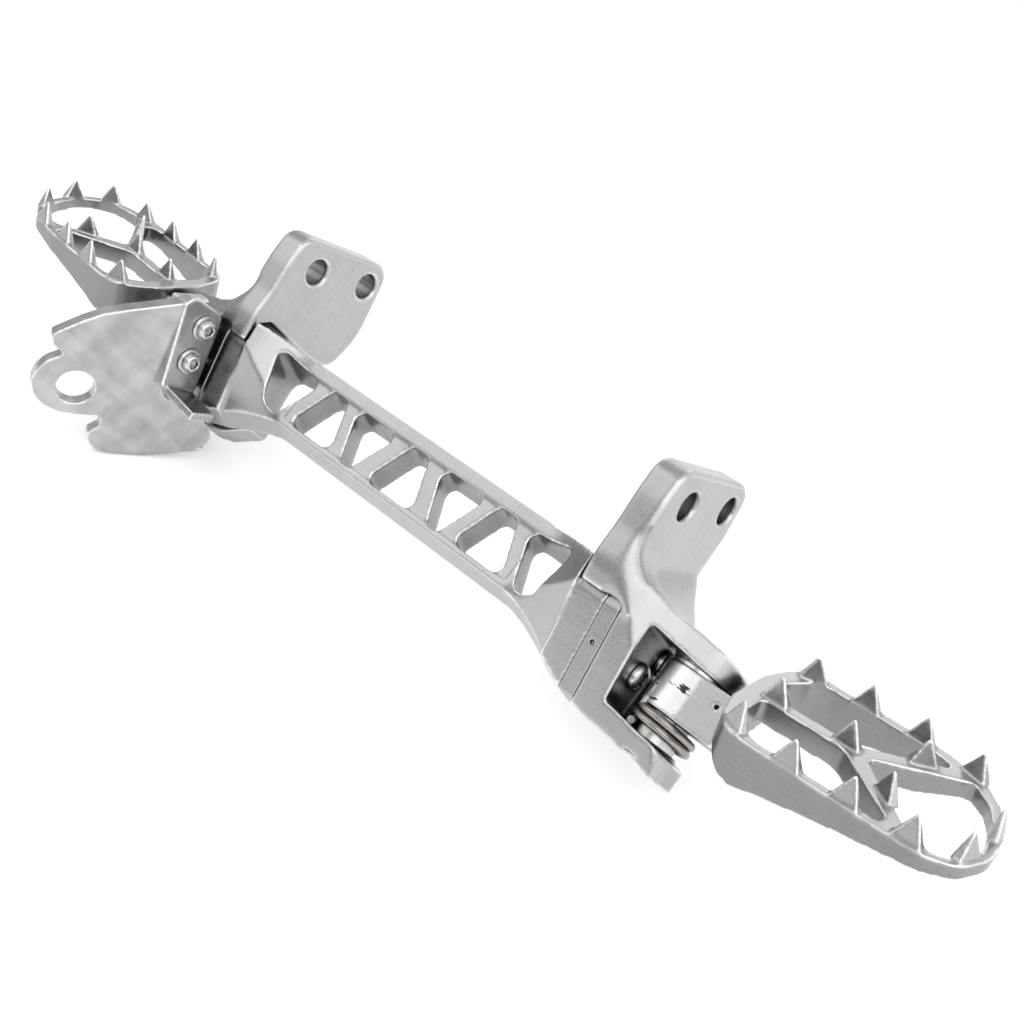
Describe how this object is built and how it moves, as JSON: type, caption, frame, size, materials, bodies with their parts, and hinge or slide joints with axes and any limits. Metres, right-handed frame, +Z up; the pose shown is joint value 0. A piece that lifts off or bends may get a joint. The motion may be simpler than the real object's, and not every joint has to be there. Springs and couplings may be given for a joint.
{
  "type": "motorcycle footpeg bar",
  "caption": "Machined crossbar with drilled frame brackets, sprung folding toothed foot pegs and a side-stand plate on the left.",
  "frame": {"origin": "middle of the rear frame bolt's axis, halfway between the two bracket arms", "axes": "+X to the bike's right along the frame bolts, +Y forwards away from the camera, +Z up"},
  "size_m": [0.4816, 0.1357, 0.0994],
  "materials": {
    "machined_aluminium": "fine brushed",
    "stainless_steel": "turned",
    "spring_steel": "drawn wire",
    "bronze": "plain"
  },
  "bodies": {
    "bar": {"crossbar": "machined_aluminium", "right_spacer": "machined_aluminium", "left_spacer": "machined_aluminium", "right_bracket": "machined_aluminium", "left_bracket": "machined_aluminium", "right_clamp_screws": "stainless_steel", "left_clamp_screws": "stainless_steel", "right_pivot_bolt": "stainless_steel", "left_pivot_bolt": "stainless_steel", "right_dowel": "stainless_steel", "left_dowel": "stainless_steel", "right_thrust_washer": "stainless_steel", "left_thrust_washer": "stainless_steel", "right_spring_sleeve": "stainless_steel", "left_spring_sleeve": "stainless_steel", "right_spring": "spring_steel", "left_spring": "spring_steel", "stand_plate": "machined_aluminium", "stand_screws": "stainless_steel", "stand_washers": "stainless_steel"},
    "right_peg_body": {"right_peg": "machined_aluminium", "right_bush": "bronze"},
    "left_peg_body": {"left_peg": "machined_aluminium", "left_bush": "bronze"}
  },
  "joints": [
    {"name": "right_fold", "type": "hinge", "parent": "bar", "child": "right_peg_body", "pos_m": [0.133, -0.01749, -0.0496], "axis": [0, -0.606, -0.7955], "range_deg": [0, 50], "stiffness_Nm_per_rad": 0.6, "springref_deg": -34.38},
    {"name": "left_fold", "type": "hinge", "parent": "bar", "child": "left_peg_body", "pos_m": [-0.133, -0.01749, -0.0496], "axis": [0, 0.606, 0.7955], "range_deg": [0, 50], "stiffness_Nm_per_rad": 0.6, "springref_deg": -34.38}
  ]
}
